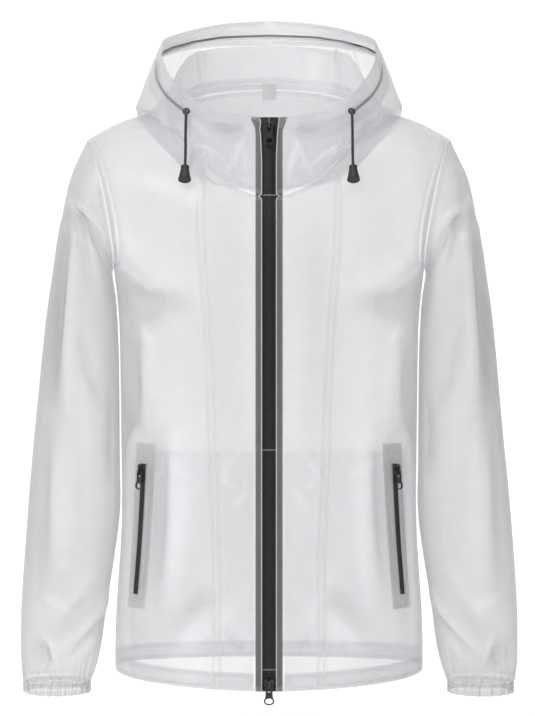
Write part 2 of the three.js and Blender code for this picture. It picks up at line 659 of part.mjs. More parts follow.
// Neck binding on the hood's stand, and the bare size label that hangs from it
const bindingShare = 0.8;
const bindingStart = sideStations.indexOf(0.8);
const bindingColumns = [bindingStart, wholeHood.length - bindingStart];
const bindingGrid = [0.03, bindingShare].map((share) => {
  const row = wholeRows[0].map((p, j) => p.clone().lerp(wholeRows[1][j], share));
  return row.map((p, j) => p.addScaledVector(wholeNormals[0][j], -layStep)).slice(...bindingColumns);
});
addMesh("neck_binding", wall(bindingGrid), "film");
const labelGeometry = new THREE.BoxGeometry(17, 1, 20);
labelGeometry.translate(0, 64.4, 13.5);
addMesh("size_label", labelGeometry, "label");

// Main zip: two tapes behind the film's edges and the closed chain between them
const zipRows = [];
for (let row = 0; row <= lowRows + princessRows; row += 1) {
  zipRows.push(bodyPoint(front, zipHalfOpening, zipEdgeZ(row)));
}
zipRows.push(...hoodColumn(0).slice(1));
const zipTop = zipRows[zipRows.length - 1].z;
const flareStartZ = -58;
const tapeFlare = 6;
const hoodEdgeSlope = 0.16;

function zipStrip(fromX, toX, move, rows, flare) {
  return rows.map((p) => [fromX, toX].map((x, k) => {
    const open = Math.max(0, (p.z - flareStartZ) / (zipTop - flareStartZ));
    const edge = x + (k === 1 ? flare * open ** 2 : 0);
    const slope = p.z > neckFrontZ ? hoodEdgeSlope * Math.max(0, edge - zipHalfOpening) : 0;
    return new THREE.Vector3(edge, p.y + move + slope, p.z);
  }));
}
addPairTape("zip_tape", zipStrip(seamGap / 2 + 0.05, zipTapeEdge, zipLay, zipRows, tapeFlare));

function addPairTape(name, points) {
  addMesh(`${name}_left`, wall(points), "tape");
  addMesh(`${name}_right`, wall(mirrored(points)), "tape");
}

function zipLineAt(z) {
  const i = zipRows.findIndex((p) => p.z > z);
  const low = zipRows[i - 1];
  const high = zipRows[i];
  const up = new THREE.Vector3(0, high.y - low.y, high.z - low.z).normalize();
  const y = lerp(low.y, high.y, (z - low.z) / (high.z - low.z));
  return { point: new THREE.Vector3(0, y, z), up, out: new THREE.Vector3(0, -up.z, up.y) };
}

const chainHalf = 3;
const chainTopZ = -45;
const chainBack = zipLay - layStep;
const chainRows = [...zipRows.filter((p) => p.z < chainTopZ - 2), zipLineAt(chainTopZ).point];
const chainGrid = chainRows.map((p) => [-chainHalf, chainHalf].map((x) =>
  new THREE.Vector3(x, p.y + chainBack, p.z)));
addMesh("zip_chain", wall(chainGrid), "tape");

// A slider: its body with the bridge, and the pull tab that swings on the bridge
const sliderHeight = 13;
const sliderThickness = 2.8;
const bridgeHalfWidth = 1.1;
const tabThickness = 1.4;
const tabAxisOut = 1.25;
const tabAxisDrop = 1.2;

function plate(shape, depth) {
  const geometry = new THREE.ExtrudeGeometry(shape, { depth, bevelEnabled: false, curveSegments: 5 });
  return geometry.rotateX(Math.PI / 2);
}

function sliderBody() {
  const outline = new THREE.Shape();
  outline.moveTo(-3.6, -sliderHeight / 2);
  outline.lineTo(3.6, -sliderHeight / 2);
  outline.lineTo(5.4, 1);
  outline.lineTo(5.6, sliderHeight / 2 - 2);
  outline.lineTo(3.8, sliderHeight / 2);
  outline.lineTo(0.9, sliderHeight / 2 - 2.2);
  outline.lineTo(-0.9, sliderHeight / 2 - 2.2);
  outline.lineTo(-3.8, sliderHeight / 2);
  outline.lineTo(-5.6, sliderHeight / 2 - 2);
  outline.lineTo(-5.4, 1);
  const arch = new THREE.Shape();
  arch.moveTo(0.6, -3.5);
  arch.lineTo(-3.1, -3.5);
  arch.lineTo(-3.7, -2.9);
  arch.lineTo(-3.7, 2.9);
  arch.lineTo(-3.1, 3.5);
  arch.lineTo(0.6, 3.5);
  arch.lineTo(0.6, 2.3);
  arch.lineTo(-2.5, 2.3);
  arch.lineTo(-2.5, -2.3);
  arch.lineTo(0.6, -2.3);
  const bridge = new THREE.ExtrudeGeometry(arch, { depth: 2 * bridgeHalfWidth, bevelEnabled: false });
  bridge.rotateX(Math.PI / 2);
  bridge.rotateZ(Math.PI / 2);
  bridge.translate(-bridgeHalfWidth, -sliderThickness, 0);
  return { body: plate(outline, sliderThickness), bridge };
}

function tabShape() {
  const shape = new THREE.Shape();
  shape.moveTo(-3.6, 0.7);
  shape.lineTo(-4.1, 0.2);
  shape.lineTo(-4.1, -11);
  shape.lineTo(-4.6, -14);
  shape.absellipse(0, -17.4, 6.1, 4.6, Math.PI * 0.85, Math.PI * 2.15, false, 0);
  shape.lineTo(4.6, -14);
  shape.lineTo(4.1, -11);
  shape.lineTo(4.1, 0.2);
  shape.lineTo(3.6, 0.7);
  const window = new THREE.Path();
  window.moveTo(-2.4, -0.7);
  window.lineTo(2.4, -0.7);
  window.lineTo(2.4, -5.6);
  window.lineTo(1.4, -7.2);
  window.lineTo(-1.4, -7.2);
  window.lineTo(-2.4, -5.6);
  const eye = new THREE.Path();
  eye.absellipse(0, -17.4, 4.5, 3.2, 0, Math.PI * 2, true, 0);
  shape.holes.push(window, eye);
  return shape;
}

// Places a slider and its tab: seat on the chain, the way up the zip and the way out of the cloth
function addSlider(name, seat, up, out) {
  const holder = new THREE.Group();
  const inward = out.clone().negate();
  inward.addScaledVector(up, -inward.dot(up)).normalize();
  const width = inward.clone().cross(up);
  holder.position.copy(seat);
  holder.quaternion.setFromRotationMatrix(new THREE.Matrix4().makeBasis(width, inward, up));
  group.add(holder);
  const parts = sliderBody();
  addMesh(`${name}_slider`, joined(parts.body, parts.bridge), "enamel", holder);
  const tab = plate(tabShape(), tabThickness);
  tab.translate(0, -sliderThickness - tabAxisOut + tabThickness / 2, -tabAxisDrop);
  addMesh(`${name}_pull`, tab, "enamel", holder);
}

const sliderMove = filmWall / 2 + seamGap - chainBack;
const outwards = new THREE.Vector3(0, -1, 0);
for (const [name, z] of [["zip_top", -48], ["zip_bottom", -686.5]]) {
  const line = zipLineAt(z);
  const seat = line.point.addScaledVector(line.out, sliderMove);
  if (name === "zip_top") addSlider(name, seat, line.up, line.out);
  else addSlider(name, seat, new THREE.Vector3(0, 0, 1), outwards);
}

// Pocket zips: tape behind the film, chain in the slot, slider; and the pocket bags
const pocketSliderZ = -444;
const pocketTape = pocketStrip(pocketTopZ, pocketBottomZ, pocketTapeHalf, -pocketLay, 8, 4);
const chainMove = layStep - pocketLay;
const pocketChain = pocketStrip(pocketSlotTopZ - 1, pocketSlotBottomZ + 1, pocketChainHalf, chainMove, 8, 1);
addPairTape("pocket_tape", pocketTape);
addPairTape("pocket_chain", pocketChain);
for (const side of [1, -1]) {
  const seat = pocketPoint(pocketSliderZ, 0, chainMove + filmWall / 2 + 0.6);
  const above = pocketPoint(pocketSliderZ + 8, 0, 0);
  const up = above.sub(pocketPoint(pocketSliderZ - 8, 0, 0)).normalize();
  const out = bodyFrame(front, read(pocketLine, "x", pocketSliderZ), pocketSliderZ).out;
  const place = (v) => v.clone().setX(side * v.x);
  addSlider(side > 0 ? "pocket_left" : "pocket_right", place(seat), place(up), place(out));
}

const bagTopZ = -421;
const bagBottomZ = -689;
const bagInnerX = 18;
const bagOuterX = 166;
const bagMove = -pocketLay - 1.9;
const pocketBag = grid(6, 8, (i, j) => {
  const x = lerp(bagInnerX, bagOuterX, Math.sin((Math.PI / 2) * (j / 8)));
  return bodyPoint(front, x, lerp(bagBottomZ, bagTopZ, i / 6), bagMove);
});
addPair("pocket_bag", pocketBag);

export default group;
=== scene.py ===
import math
import bmesh
import bpy
import numpy as np
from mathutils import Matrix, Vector, kdtree, noise
from mathutils.bvhtree import BVHTree


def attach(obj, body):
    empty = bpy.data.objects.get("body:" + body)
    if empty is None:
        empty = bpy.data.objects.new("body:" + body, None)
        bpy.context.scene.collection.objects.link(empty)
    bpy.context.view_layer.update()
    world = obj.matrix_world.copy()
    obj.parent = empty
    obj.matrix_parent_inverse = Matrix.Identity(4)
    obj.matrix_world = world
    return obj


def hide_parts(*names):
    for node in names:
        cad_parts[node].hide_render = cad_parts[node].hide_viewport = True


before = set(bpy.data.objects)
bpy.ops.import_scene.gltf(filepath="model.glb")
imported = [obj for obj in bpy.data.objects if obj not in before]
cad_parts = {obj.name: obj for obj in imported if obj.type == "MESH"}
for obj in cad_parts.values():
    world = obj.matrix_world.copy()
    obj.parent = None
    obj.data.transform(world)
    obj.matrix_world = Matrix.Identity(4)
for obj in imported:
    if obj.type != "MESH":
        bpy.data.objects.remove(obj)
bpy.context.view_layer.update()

# Camera: it stands level in front of the jacket at the height of its waist, 2.5 m from the plane
# through both shoulders, a little to the left of the zip.
eye = Vector((-0.0018, -2.5, -0.314))
lens_mm = 104.75
camera_data = bpy.data.cameras.new("camera")
camera_data.lens = lens_mm
camera_data.sensor_width = 36.0
camera = bpy.data.objects.new("camera", camera_data)
camera.location = eye
camera.rotation_euler = (math.pi / 2, 0.0, 0.0)
bpy.context.collection.objects.link(camera)
bpy.context.scene.camera = camera


def deselect_all():
    if bpy.context.object and bpy.context.object.mode != "OBJECT":
        bpy.ops.object.mode_set(mode="OBJECT")
    bpy.ops.object.select_all(action="DESELECT")


# Studio: one white paper sweep, floor and background in one piece, under a large soft light from the
# front, one from above and one from each side, with an even white surround.
sweep_floor_z = -0.80
sweep_half_width = 6.0
sweep_front_y = -4.5
sweep_back_y = 1.9
sweep_radius = 0.9
sweep_top_z = 4.5


def build_sweep():
    outline = [(sweep_front_y, sweep_floor_z), (sweep_back_y - sweep_radius, sweep_floor_z)]
    for i in range(1, 17):
        turn = math.pi / 2 * i / 16
        outline.append((sweep_back_y - sweep_radius + sweep_radius * math.sin(turn),
                        sweep_floor_z + sweep_radius * (1 - math.cos(turn))))
    outline.append((sweep_back_y, sweep_top_z))
    points = [(x, y, z) for y, z in outline for x in (-sweep_half_width, sweep_half_width)]
    faces = [(2 * i, 2 * i + 1, 2 * i + 3, 2 * i + 2) for i in range(len(outline) - 1)]
    mesh = bpy.data.meshes.new("paper_sweep")
    mesh.from_pydata(points, [], faces)
    paper = bpy.data.materials.new("white paper")
    paper.use_nodes = True
    shader = paper.node_tree.nodes["Principled BSDF"]
    shader.inputs["Base Color"].default_value = (0.93, 0.93, 0.935, 1.0)
    shader.inputs["Roughness"].default_value = 0.9
    shader.inputs["Specular IOR Level"].default_value = 0.1
    shader.inputs["Emission Color"].default_value = (1.0, 1.0, 1.0, 1.0)
    shader.inputs["Emission Strength"].default_value = 0.30
    nodes, links = paper.node_tree.nodes, paper.node_tree.links
    side_seen = nodes.new("ShaderNodeNewGeometry")
    clear_back = nodes.new("ShaderNodeBsdfTransparent")
    one_sided = nodes.new("ShaderNodeMixShader")
    links.new(side_seen.outputs["Backfacing"], one_sided.inputs["Fac"])
    links.new(shader.outputs["BSDF"], one_sided.inputs[1])
    links.new(clear_back.outputs["BSDF"], one_sided.inputs[2])
    links.new(one_sided.outputs["Shader"], nodes["Material Output"].inputs["Surface"])
    mesh.materials.append(paper)
    sweep = bpy.data.objects.new("paper_sweep", mesh)
    bpy.context.collection.objects.link(sweep)
    bpy.ops.object.select_all(action="DESELECT")
    bpy.context.view_layer.objects.active = sweep
    sweep.select_set(True)
    bpy.ops.object.shade_smooth()


def add_softbox(name, place, aim, size, watts):
    data = bpy.data.lights.new(name, "AREA")
    data.shape = "RECTANGLE"
    data.size, data.size_y = size
    data.energy = watts
    light = bpy.data.objects.new(name, data)
    light.location = place
    light.rotation_euler = (Vector(aim) - Vector(place)).to_track_quat("-Z", "Y").to_euler()
    bpy.context.collection.objects.link(light)


build_sweep()
add_softbox("front_softbox", (-1.5, -2.3, 1.9), (0, 0, -0.3), (1.0, 1.0), 56)
add_softbox("top_softbox", (0.1, -0.5, 2.1), (0, 0, -0.3), (1.2, 0.9), 16)
add_softbox("left_softbox", (-2.4, -0.5, 0.1), (0, 0, -0.35), (0.5, 1.8), 5)
add_softbox("right_softbox", (2.4, -0.5, 0.1), (0, 0, -0.35), (0.5, 1.8), 4)
add_softbox("background_light", (0.0, 0.9, 2.4), (0, 1.9, -0.4), (3.5, 0.6), 16)
surround = bpy.data.worlds.new("white surround")
surround.use_nodes = True
surround.node_tree.nodes["Background"].inputs["Color"].default_value = (1.0, 1.0, 1.0, 1.0)
surround.node_tree.nodes["Background"].inputs["Strength"].default_value = 0.14
bpy.context.scene.world = surround
bpy.context.scene.view_settings.view_transform = "Standard"


# Free drawcord ends: round braided cord, black, out of an eyelet in each side of the hood's front
# edge. Each hangs straight down and sits with its knot in a bell-shaped moulded rubber end.
cord_thickness = 0.0034
cord_exits = {"left": (0.09624, -0.08817, -0.02746), "right": (-0.09624, -0.08817, -0.02746)}
cord_route = [(0.00063, -0.00206, 0.00106), (-0.0003, -0.0054, -0.004), (-0.0003, -0.0076, -0.009),
              (-0.0002, -0.0096, -0.018), (0.0, -0.0106, -0.030), (0.0, -0.0114, -0.042),
              (0.0001, -0.0128, -0.052), (0.0002, -0.0150, -0.059), (0.0003, -0.0180, -0.0655)]
bell_outline = [(0.0, 0.0058), (0.0, 0.0070), (0.0005, 0.0074), (0.0014, 0.0074), (0.006, 0.0064),
                (0.012, 0.0052), (0.0165, 0.0046), (0.0178, 0.0049), (0.0186, 0.0045), (0.019, 0.0036),
                (0.0184, 0.0022)]


def smooth_path(points, steps):
    """Points along a rounded line through the given ones."""
    spots = [Vector(p) for p in points]
    line = []
    for i in range(len(spots) - 1):
        a, b, c, d = spots[max(i - 1, 0)], spots[i], spots[i + 1], spots[min(i + 2, len(spots) - 1)]
        for k in range(steps):
            t = k / steps
            line.append(0.5 * (2 * b + (c - a) * t + (2 * a - 5 * b + 4 * c - d) * t ** 2
                               + (3 * b - a - 3 * c + d) * t ** 3))
    line.append(spots[-1])
    return line


def place_in_scene(name, mesh, material, body="jacket"):
    piece = bpy.data.objects.new(name, mesh)
    bpy.context.collection.objects.link(piece)
    mesh.materials.clear()
    mesh.materials.append(material)
    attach(piece, body)
    return piece


def round_cord(name, line, thickness, sides, material):
    """A round cord along a line, with a UV map that runs round it and along it in metres."""
    shell = bmesh.new()
    uv = shell.loops.layers.uv.new("along the cord")
    side = Vector((1, 0, 0))
    rings, run = [], [0.0]
    for i, spot in enumerate(line):
        ahead = (line[min(i + 1, len(line) - 1)] - line[max(i - 1, 0)]).normalized()
        side = (side - ahead * side.dot(ahead)).normalized()
        across = ahead.cross(side)
        rings.append([shell.verts.new(spot + thickness / 2 * (math.cos(a) * side + math.sin(a) * across))
                      for a in (2 * math.pi * k / sides for k in range(sides))])
        if i:
            run.append(run[-1] + (spot - line[i - 1]).length)
    for i in range(len(rings) - 1):
        for k in range(sides):
            n = (k + 1) % sides
            face = shell.faces.new((rings[i][k], rings[i][n], rings[i + 1][n], rings[i + 1][k]))
            for loop, (u, v) in zip(face.loops, ((k, i), (k + 1, i), (k + 1, i + 1), (k, i + 1))):
                loop[uv].uv = (u / sides, run[v])
    shell.faces.new(list(reversed(rings[0])))
    shell.faces.new(rings[-1])
    for face in shell.faces:
        face.smooth = len(face.verts) == 4
    mesh = bpy.data.meshes.new(name)
    shell.to_mesh(mesh)
    shell.free()
    return place_in_scene(name, mesh, material)


def node_kit(name):
    """A new material with its node tree, its shader and short ways to add and join nodes."""
    material = bpy.data.materials.new(name)
    material.use_nodes = True
    tree = material.node_tree

    def add(kind, **values):
        node = tree.nodes.new("ShaderNode" + kind)
        for key, value in values.items():
            if hasattr(node, key):
                setattr(node, key, value)
            else:
                node.inputs[key.replace("_", " ").title()].default_value = value
        return node

    def join(source, target):
        tree.links.new(source, target)

    return material, tree.nodes["Principled BSDF"], add, join


def braided_cord_material():
    """Black polyester braid: two sets of strands that cross, with the light caught on each crossing."""
    material, shader, add, join = node_kit("black braided cord")
    uv = add("UVMap", uv_map="along the cord")
    heights = []
    for lean in (1, -1):
        turn = add("Mapping")
        turn.inputs["Scale"].default_value = (6.0, 300.0 * lean, 1.0)
        wave = add("TexWave", wave_type="BANDS", bands_direction="DIAGONAL", Scale=0.9, Distortion=0.0)
        join(uv.outputs["UV"], turn.inputs["Vector"])
        join(turn.outputs["Vector"], wave.inputs["Vector"])
        heights.append(wave.outputs["Fac"])
    weave = add("Math", operation="MAXIMUM")
    join(heights[0], weave.inputs[0])
    join(heights[1], weave.inputs[1])
    shade = add("ValToRGB")
    shade.color_ramp.elements[0].color = (0.008, 0.008, 0.009, 1)
    shade.color_ramp.elements[1].color = (0.040, 0.040, 0.043, 1)
    join(weave.outputs["Value"], shade.inputs["Fac"])
    join(shade.outputs["Color"], shader.inputs["Base Color"])
    relief = add("Bump", Strength=0.6, Distance=0.0003)
    join(weave.outputs["Value"], relief.inputs["Height"])
    join(relief.outputs["Normal"], shader.inputs["Normal"])
    shader.inputs["Roughness"].default_value = 0.75
    shader.inputs["Sheen Weight"].default_value = 0.3
    return material


def rubber_material():
    """Moulded black rubber: matt, very slightly pitted and dusty."""
    material, shader, add, join = node_kit("black moulded rubber")
    spot = add("TexCoord")
    grain = add("TexNoise", Scale=900.0, Detail=3.0)
    join(spot.outputs["Object"], grain.inputs["Vector"])
    shade = add("ValToRGB")
    shade.color_ramp.elements[0].color = (0.014, 0.014, 0.015, 1)
    shade.color_ramp.elements[1].color = (0.026, 0.026, 0.028, 1)
    join(grain.outputs["Fac"], shade.inputs["Fac"])
    join(shade.outputs["Color"], shader.inputs["Base Color"])
    relief = add("Bump", Strength=0.15, Distance=0.0002)
    join(grain.outputs["Fac"], relief.inputs["Height"])
    join(relief.outputs["Normal"], shader.inputs["Normal"])
    shader.inputs["Roughness"].default_value = 0.55
    return material


def spun_bell(name, base, up, material):
    """A bell end spun from its outline round the cord's own direction."""
    side = up.orthogonal().normalized()
    spots = [base + up * height + side * radius for height, radius in bell_outline]
    mesh = bpy.data.meshes.new(name)
    mesh.from_pydata(spots, [(i, i + 1) for i in range(len(spots) - 1)], [])
    bell = place_in_scene(name, mesh, material)
    deselect_all()
    bpy.context.view_layer.objects.active = bell
    bell.select_set(True)
    bpy.ops.object.mode_set(mode="EDIT")
    bpy.ops.mesh.select_all(action="SELECT")
    bpy.ops.mesh.spin(steps=40, angle=2 * math.pi, center=base, axis=up)
    bpy.ops.mesh.select_all(action="SELECT")
    bpy.ops.mesh.remove_doubles(threshold=1e-5)
    bpy.ops.mesh.select_all(action="DESELECT")
    bpy.ops.mesh.select_non_manifold()
    bpy.ops.mesh.edge_face_add()
    bpy.ops.mesh.select_all(action="SELECT")
    bpy.ops.mesh.normals_make_consistent(inside=False)
    bpy.ops.object.mode_set(mode="OBJECT")
    bpy.ops.object.shade_smooth_by_angle(angle=math.radians(40))
    return bell


cord_stuff = braided_cord_material()
rubber_stuff = rubber_material()
for side_name, mirror in (("left", 1), ("right", -1)):
    start = Vector(cord_exits[side_name])
    route = [start] + [start + Vector((mirror * x, y, z)) for x, y, z in cord_route]
    line = smooth_path(route, 4)
    down = (route[-1] - route[-2]).normalized()
    bell = spun_bell(f"bell_end_{side_name}", route[-1] + down * 0.0193, -down, rubber_stuff)
    free_cord = round_cord(f"free_cord_{side_name}", line, cord_thickness, 16, cord_stuff)
    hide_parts(f"drawcord_{side_name}")
    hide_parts(f"cord_end_{side_name}")


# Film: frosted clear plastic film 0.3 mm thick, cut in panels that are welded and sewn edge to edge.
# Light goes straight through about six tenths of it and the rest is scattered, more so in the seams,
# where two edges lie on each other.
wall_of_solid = 0.0012
seam_band = 0.0048
weld_haze = 0.16
through_share = 0.42
slant_power = 1.7
slant_haze = 0.5
trough_depth, ridge_height = -0.006, 0.005
# Painted shade and highlight: how much darker the film's colour is painted in the folds' troughs and how
# much lighter on their ridges.
painted_trough_shade, painted_ridge_highlight = 0.62, 1.19


def film_material(name, clear, tint, roughness, seam_haze=0.12):
    material, shader, add, join = node_kit(name)
    spot = add("TexCoord")
    cloud = add("TexNoise", Scale=22.0, Detail=4.0, Roughness=0.55)
    join(spot.outputs["Object"], cloud.inputs["Vector"])
    long_way = add("Mapping")
    long_way.inputs["Scale"].default_value = (1.0, 1.0, 0.28)
    join(spot.outputs["Object"], long_way.inputs["Vector"])
    crinkle = add("TexNoise", Scale=42.0, Detail=5.0, Roughness=0.55, Distortion=0.6)
    join(long_way.outputs["Vector"], crinkle.inputs["Vector"])
    grain = add("TexNoise", Scale=1400.0, Detail=2.0)
    join(spot.outputs["Object"], grain.inputs["Vector"])

    edge = add("Attribute", attribute_name="from the edge", attribute_type="GEOMETRY")
    band = add("MapRange", interpolation_type="SMOOTHSTEP")
    for key, value in (("From Min", seam_band + 0.0004), ("From Max", seam_band - 0.0004)):
        band.inputs[key].default_value = value
    join(edge.outputs["Fac"], band.inputs["Value"])
    weld = add("Math", operation="COMPARE")
    weld.inputs[1].default_value = seam_band
    weld.inputs[2].default_value = 0.0005
    join(edge.outputs["Fac"], weld.inputs[0])

    relief = add("Bump", Strength=0.35, Distance=0.0035)
    join(crinkle.outputs["Fac"], relief.inputs["Height"])
    fine = add("Bump", Strength=0.08, Distance=0.0003)
    join(grain.outputs["Fac"], fine.inputs["Height"])
    join(relief.outputs["Normal"], fine.inputs["Normal"])

    shade = add("ValToRGB")
    shade.color_ramp.elements[0].position = 0.3
    shade.color_ramp.elements[0].color = [c * 0.97 for c in tint] + [1]
    shade.color_ramp.elements[1].position = 0.7
    shade.color_ramp.elements[1].color = list(tint) + [1]
    join(cloud.outputs["Fac"], shade.inputs["Fac"])
    # Painted shade and highlight from the crease height: the tint is darkened in the troughs and lightened
    # on the ridges.
    crease = add("Attribute", attribute_name="crease", attribute_type="GEOMETRY")
    painted_fold_shade = add("MapRange", interpolation_type="SMOOTHSTEP")
    for key, value in (("From Min", trough_depth), ("From Max", ridge_height), ("To Min", painted_trough_shade),
                       ("To Max", painted_ridge_highlight)):
        painted_fold_shade.inputs[key].default_value = value
    join(crease.outputs["Fac"], painted_fold_shade.inputs["Value"])
    tone = add("VectorMath", operation="SCALE")
    join(shade.outputs["Color"], tone.inputs[0])
    join(painted_fold_shade.outputs["Result"], tone.inputs["Scale"])
    join(tone.outputs["Vector"], shader.inputs["Base Color"])
    shader.inputs["Roughness"].default_value = roughness
    shader.inputs["Specular IOR Level"].default_value = 0.45
    join(fine.outputs["Normal"], shader.inputs["Normal"])
    through = add("BsdfTranslucent")
    join(tone.outputs["Vector"], through.inputs["Color"])
    join(relief.outputs["Normal"], through.inputs["Normal"])
    body = add("MixShader")
    body.inputs["Fac"].default_value = through_share
    join(shader.outputs["BSDF"], body.inputs[1])
    join(through.outputs["BSDF"], body.inputs[2])

    open_film = add("BsdfTransparent")
    open_film.inputs["Color"].default_value = (0.985, 0.985, 0.99, 1)
    haze = add("MapRange")
    for key, value in (("From Min", 0.3), ("From Max", 0.7), ("To Min", 1 - clear - 0.012),
                       ("To Max", 1 - clear + 0.012)):
        haze.inputs[key].default_value = value
    join(cloud.outputs["Fac"], haze.inputs["Value"])
    thick = add("Math", operation="MULTIPLY_ADD")
    thick.inputs[1].default_value = seam_haze
    join(band.outputs["Result"], thick.inputs[0])
    join(haze.outputs["Result"], thick.inputs[2])
    lined = add("Math", operation="MULTIPLY_ADD", use_clamp=True)
    lined.inputs[1].default_value = weld_haze
    join(weld.outputs["Value"], lined.inputs[0])
    join(thick.outputs["Value"], lined.inputs[2])
    slant = add("LayerWeight", Blend=0.5)
    steep = add("Math", operation="POWER")
    steep.inputs[1].default_value = slant_power
    join(slant.outputs["Facing"], steep.inputs[0])
    longer_way = add("Math", operation="MULTIPLY_ADD", use_clamp=True)
    longer_way.inputs[1].default_value = slant_haze
    join(steep.outputs["Value"], longer_way.inputs[0])
    join(lined.outputs["Value"], longer_way.inputs[2])
    film = add("MixShader")
    join(longer_way.outputs["Value"], film.inputs["Fac"])
    join(open_film.outputs["BSDF"], film.inputs[1])
    join(body.outputs["Shader"], film.inputs[2])
    output = material.node_tree.nodes["Material Output"]
    join(film.outputs["Shader"], output.inputs["Surface"])
    return material


# Creases and folds that the jacket hangs in when worn: soft troughs and ridges, each with its own
# size, on the half with -X. The other half has the same ones, a little moved and weaker.
# Columns: width, height (a trough is negative), then x and z of the line's points; metres.
front_creases = [
    # drag fold of the sleeve from the upper arm to the underarm
    (0.0045, 0.0061, -0.232, -0.131, -0.218, -0.138, -0.203, -0.152, -0.184, -0.175),
    (0.007, -0.0051, -0.232, -0.142, -0.22, -0.15, -0.206, -0.165, -0.19, -0.19),
    # long folds down the sleeve
    (0.009, -0.0061, -0.238, -0.148, -0.243, -0.213, -0.25, -0.282, -0.256, -0.362),
    (0.008, 0.0058, -0.228, -0.172, -0.232, -0.236, -0.234, -0.305, -0.232, -0.374),
    (0.008, -0.0041, -0.22, -0.282, -0.211, -0.33, -0.198, -0.368),
    (0.012, -0.0068, -0.18, -0.368, -0.175, -0.405, -0.181, -0.443),
    (0.014, 0.0051, -0.238, -0.397, -0.243, -0.478, -0.241, -0.552),
    (0.01, -0.0044, -0.26, -0.397, -0.266, -0.501, -0.268, -0.593),
    # folds over the cuff
    (0.006, 0.0044, -0.264, -0.593, -0.25, -0.6, -0.234, -0.61),
    (0.006, 0.0058, -0.189, -0.595, -0.204, -0.622, -0.222, -0.641, -0.243, -0.655),
    (0.007, -0.0058, -0.194, -0.614, -0.209, -0.637, -0.229, -0.655),
    (0.009, -0.0076, -0.275, -0.65, -0.266, -0.662, -0.259, -0.676),
    (0.004, 0.0044, -0.262, -0.64, -0.253, -0.653, -0.251, -0.671),
    (0.005, 0.0041, -0.206, -0.639, -0.215, -0.654, -0.227, -0.667),
    # drag line from the armhole over the chest and the hollow under it
    (0.01, 0.0061, -0.179, -0.153, -0.164, -0.203, -0.137, -0.228, -0.107, -0.231),
    (0.018, -0.0085, -0.169, -0.236, -0.146, -0.254, -0.114, -0.249),
    (0.005, 0.0031, -0.156, -0.268, -0.145, -0.283, -0.135, -0.298),
    (0.012, -0.0061, -0.162, -0.282, -0.16, -0.351, -0.164, -0.408),
    (0.012, 0.0044, -0.142, -0.293, -0.137, -0.362, -0.135, -0.404),
    (0.01, -0.0048, -0.122, -0.397, -0.124, -0.455, -0.129, -0.524, -0.135, -0.593),
    (0.012, 0.0041, -0.107, -0.408, -0.105, -0.501, -0.112, -0.593),
    # small creases under the waist line and beside the zip
    (0.004, 0.0027, -0.112, -0.44, -0.101, -0.442, -0.09, -0.448),
    (0.0035, 0.0031, -0.036, -0.422, -0.05, -0.443, -0.052, -0.455, -0.037, -0.46),
    (0.004, 0.0024, -0.022, -0.461, -0.033, -0.478, -0.043, -0.487),
    (0.012, 0.0041, -0.1, -0.65, -0.079, -0.627, -0.054, -0.607),
    (0.012, -0.0041, -0.103, -0.616, -0.079, -0.593, -0.052, -0.577),
    (0.006, -0.0027, -0.05, -0.625, -0.038, -0.639, -0.026, -0.648),
    # creases round the front of the neck
    (0.003, 0.0034, -0.091, -0.067, -0.075, -0.071, -0.061, -0.079, -0.045, -0.096),
    (0.003, 0.0031, -0.077, -0.086, -0.07, -0.074, -0.063, -0.089),
    (0.003, 0.0034, -0.059, -0.114, -0.038, -0.091, -0.03, -0.063),
    (0.0035, 0.0034, -0.03, -0.067, -0.023, -0.095, -0.016, -0.118),
    (0.007, -0.0037, -0.082, -0.097, -0.054, -0.109, -0.026, -0.104),
    (0.006, -0.0031, -0.063, -0.047, -0.043, -0.052, -0.022, -0.049),
    (0.005, 0.0027, -0.126, -0.023, -0.121, -0.035, -0.115, -0.049),
]
back_creases = [
    # folds down the back and across the shoulder blades
    (0.02, -0.0068, -0.051, -0.129, -0.059, -0.279, -0.049, -0.429),
    (0.014, 0.0058, -0.186, -0.154, -0.149, -0.194, -0.099, -0.217),
    (0.012, -0.0058, -0.188, -0.194, -0.154, -0.229, -0.106, -0.247),
    (0.016, 0.0058, -0.111, -0.279, -0.116, -0.404, -0.109, -0.541),
    (0.013, -0.0058, -0.154, -0.341, -0.149, -0.454, -0.158, -0.591),
    (0.012, 0.0044, -0.08, -0.566, -0.059, -0.616, -0.041, -0.678),
    # folds of the sleeve's back
    (0.005, 0.0058, -0.253, -0.154, -0.231, -0.167, -0.201, -0.194),
    (0.01, -0.0058, -0.261, -0.204, -0.268, -0.316, -0.261, -0.429),
    (0.009, 0.0051, -0.223, -0.279, -0.231, -0.366, -0.221, -0.454),
    (0.007, 0.0051, -0.211, -0.566, -0.236, -0.604, -0.266, -0.621),
    (0.008, -0.0058, -0.216, -0.604, -0.243, -0.636, -0.276, -0.651),
]
other_half_move = 0.004
other_half_share = 0.85
zip_calm = 0.022
pocket_line = (Vector((-0.152, -0.415)), Vector((-0.158, -0.60)))
pocket_calm = 0.020
underarm_x = 0.180
underarm_calm = 0.012
armhole_bottom_z = -0.18
seam_calm = 0.014
ripple_height = 0.0016
ripple_length = 0.060
ripple_stretch = 2.6


def along_line(x, z, points):
    """Distance of each spot (x, z) to a line of points, and how far along the line it is, 0 to 1."""
    spots = np.array(points).reshape(-1, 2)
    pieces = np.linalg.norm(spots[1:] - spots[:-1], axis=1)
    total = pieces.sum()
    near = np.full(len(x), 1e9)
    share = np.zeros(len(x))
    start = 0.0
    for a, b, length in zip(spots[:-1], spots[1:], pieces):
        t = np.clip(((x - a[0]) * (b[0] - a[0]) + (z - a[1]) * (b[1] - a[1])) / length ** 2, 0, 1)
        d = np.hypot(x - a[0] - t * (b[0] - a[0]), z - a[1] - t * (b[1] - a[1]))
        closer = d < near
        near = np.where(closer, d, near)
        share = np.where(closer, (start + t * length) / total, share)
        start += length
    return near, share


